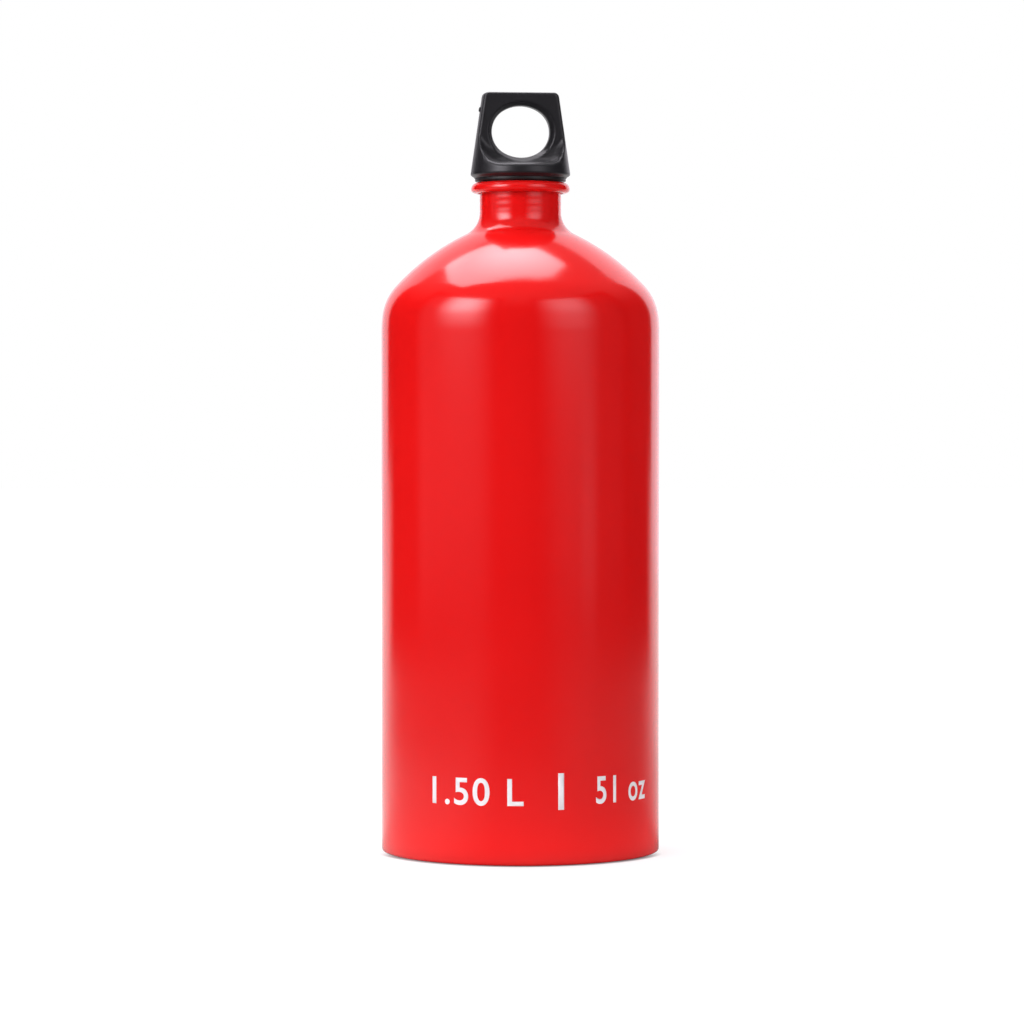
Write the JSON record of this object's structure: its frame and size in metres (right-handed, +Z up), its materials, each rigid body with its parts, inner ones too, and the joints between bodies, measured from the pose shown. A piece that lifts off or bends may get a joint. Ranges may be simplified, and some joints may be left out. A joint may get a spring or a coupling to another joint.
{
  "type": "camping fuel bottle",
  "caption": "Tall round aluminium fuel bottle with a domed shoulder, a short necked-in mouth with a rolled lip, a rubber seal and a screw stopper with a finger loop.",
  "frame": {"origin": "centre of the base, on the plane the bottle stands on", "axes": "+Z up the bottle's axis, +X along the wide direction of the stopper's loop, +Y along its finger hole"},
  "size_m": [0.0992, 0.0992, 0.2702],
  "materials": {
    "red_enamel_on_aluminium": "gloss",
    "seal_rubber": "matte",
    "cap_plastic": "satin"
  },
  "bodies": {
    "bottle": {"bottle_shell": "red_enamel_on_aluminium"},
    "seal": {"seal_ring": "seal_rubber"},
    "cap": {"screw_cap": "cap_plastic"}
  },
  "joints": [
    {"name": "cap_lift", "type": "slide", "parent": "bottle", "child": "seal", "axis": [0, 0, 1], "range_m": [0, 0.015]},
    {"name": "cap_turn", "type": "hinge", "parent": "seal", "child": "cap", "pos_m": [0, 0, 0.2398], "axis": [0, 0, 1], "range_deg": [0, 2160]}
  ],
  "couplings": [
    {"joint": "cap_lift", "follows": "cap_turn", "m_per_rad": 0.00039788}
  ]
}
